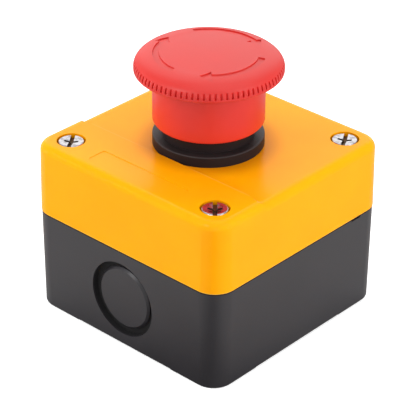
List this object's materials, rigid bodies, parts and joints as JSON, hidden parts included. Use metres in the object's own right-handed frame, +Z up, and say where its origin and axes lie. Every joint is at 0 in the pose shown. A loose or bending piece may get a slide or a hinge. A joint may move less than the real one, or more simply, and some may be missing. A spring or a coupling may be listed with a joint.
{
  "type": "emergency stop station",
  "caption": "Wall-mounting emergency stop station: yellow lid on a black base, red push-to-latch, twist-to-release mushroom head on a black collar, contact blocks inside.",
  "frame": {"origin": "middle of the box's footprint, on the plane of the feet", "axes": "+Z up along the push axis, out of the wall; cable entries face -Y and +Y; the lid's raised strip lies at -Y"},
  "size_m": [0.068, 0.068, 0.0765],
  "materials": {
    "base_black": "satin moulded",
    "lid_yellow": "satin moulded",
    "seal_rubber": "matt",
    "plated_steel": "zinc plated",
    "brass": "turned",
    "collar_black": "satin moulded",
    "nut_grey": "matt moulded",
    "head_red": "satin moulded",
    "slider_white": "matt moulded",
    "spring_steel": "drawn wire",
    "carrier_black": "matt moulded",
    "nc_red": "matt moulded",
    "no_green": "matt moulded"
  },
  "bodies": {
    "station": {"base_box": "base_black", "lid": "lid_yellow", "lid_gasket": "seal_rubber", "lid_screws": "plated_steel", "screw_inserts": "brass", "operator_collar": "collar_black", "collar_seal": "seal_rubber", "spindle_seal": "seal_rubber", "ring_nut": "nut_grey", "latch_ring": "spring_steel", "return_spring": "spring_steel", "contact_carrier": "carrier_black", "carrier_screws": "plated_steel", "nc_block_case": "nc_red", "nc_block_cover": "nc_red", "nc_plunger_spring": "spring_steel", "nc_fixed_contacts": "brass", "nc_terminal_screws": "plated_steel", "nc_wire_clamps": "plated_steel", "no_block_case": "no_green", "no_block_cover": "no_green", "no_plunger_spring": "spring_steel", "no_fixed_contacts": "brass", "no_terminal_screws": "plated_steel", "no_wire_clamps": "plated_steel"},
    "slider": {"latch_slider": "slider_white"},
    "head": {"mushroom_head": "head_red", "head_spindle": "plated_steel", "cross_pin": "plated_steel", "twist_spring": "spring_steel"},
    "nc_contact": {"nc_plunger": "slider_white", "nc_contact_bridge": "brass", "nc_contact_spring": "spring_steel"},
    "no_contact": {"no_plunger": "slider_white", "no_contact_bridge": "brass", "no_contact_spring": "spring_steel"}
  },
  "joints": [
    {"name": "push", "type": "slide", "parent": "station", "child": "slider", "axis": [0, 0, -1], "range_m": [0, 0.0035], "stiffness_N_per_m": 2500, "springref_m": -0.004, "deforming": ["return_spring"]},
    {"name": "twist", "type": "hinge", "parent": "slider", "child": "head", "pos_m": [0, 0, 0.0565], "axis": [0, 0, -1], "range_deg": [0, 40], "stiffness_Nm_per_rad": 0.05, "springref_deg": -28.65},
    {"name": "nc_stroke", "type": "slide", "parent": "station", "child": "nc_contact", "axis": [0, 0, -1], "range_m": [0, 0.0035], "deforming": ["nc_plunger_spring"]},
    {"name": "no_stroke", "type": "slide", "parent": "station", "child": "no_contact", "axis": [0, 0, -1], "range_m": [0, 0.0035], "deforming": ["no_plunger_spring"]}
  ],
  "couplings": [
    {"joint": "nc_stroke", "follows": "push", "ratio": 1},
    {"joint": "no_stroke", "follows": "push", "ratio": 1}
  ]
}
